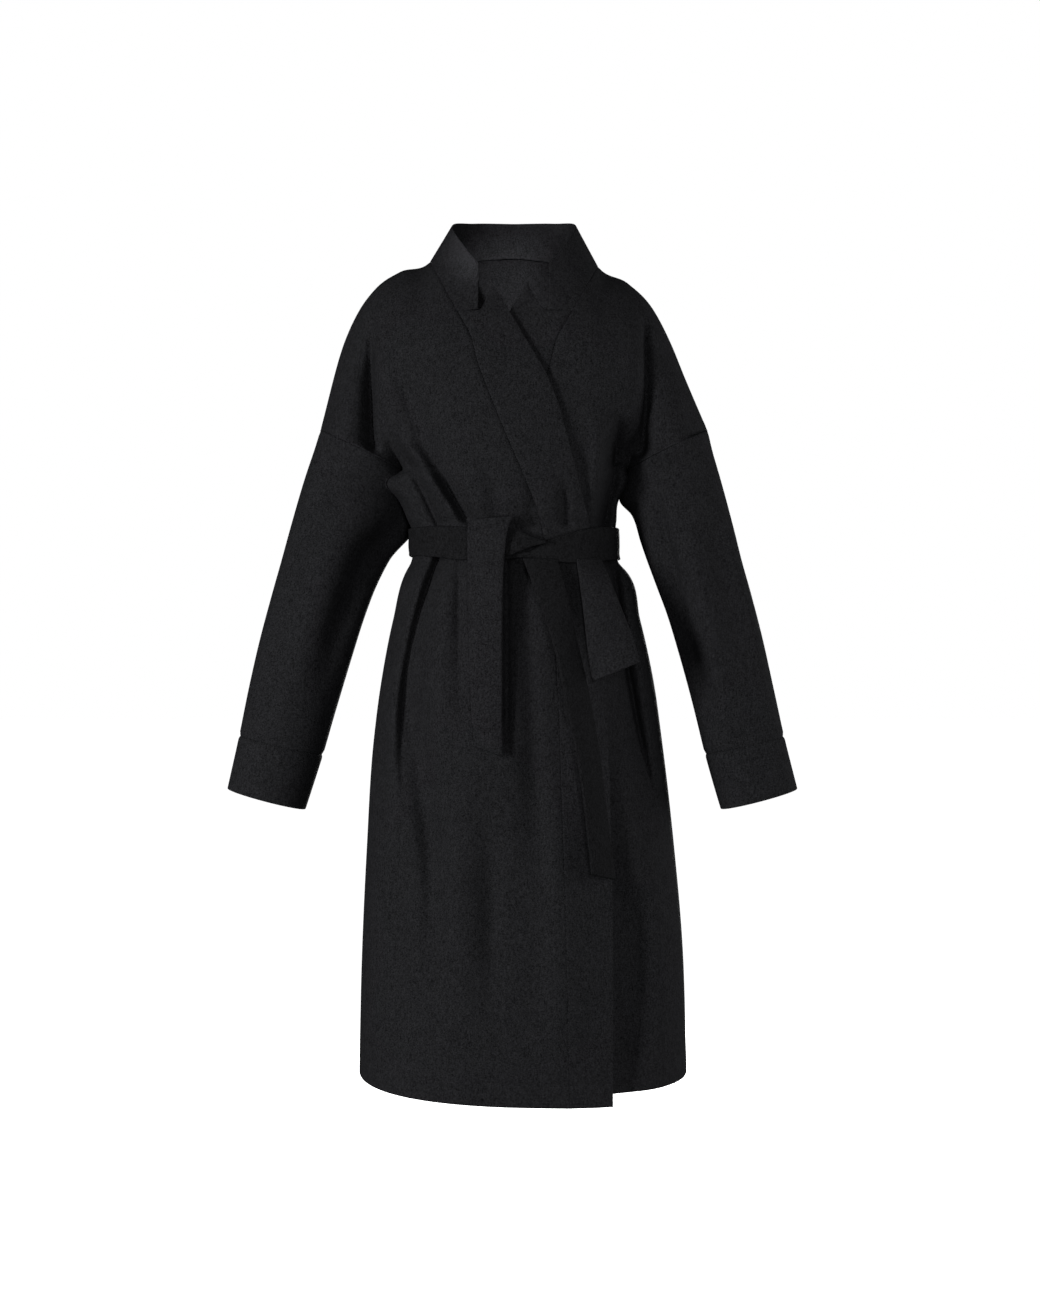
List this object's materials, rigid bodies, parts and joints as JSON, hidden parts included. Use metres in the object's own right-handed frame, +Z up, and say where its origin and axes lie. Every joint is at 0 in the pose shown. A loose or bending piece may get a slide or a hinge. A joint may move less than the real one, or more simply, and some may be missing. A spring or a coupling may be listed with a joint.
{
  "type": "belted wrap coat",
  "caption": "Mid-length wrap coat in heavy wool with a stand collar, dropped shoulders, wide sleeves with deep cuffs, front bands and a tied belt, hollow as if worn.",
  "frame": {"origin": "middle of the shoulder line, where the wearer's shoulders carry the coat", "axes": "+Z up, -Y towards the front of the coat, +X to the viewer's right"},
  "size_m": [0.7345, 0.2884, 1.1331],
  "materials": {
    "wool": "matt felted wool",
    "belt_wool": "matt felted wool"
  },
  "bodies": {
    "root": {"back": "wool", "front_over": "wool", "front_under": "wool", "band_over": "wool", "band_under": "wool", "collar": "wool", "sleeve_left": "wool", "sleeve_right": "wool", "cuff_left": "wool", "cuff_right": "wool", "belt_waist": "belt_wool", "belt_knot": "belt_wool", "belt_loop": "belt_wool", "belt_end_short": "belt_wool", "belt_end_long": "belt_wool"}
  },
  "joints": []
}
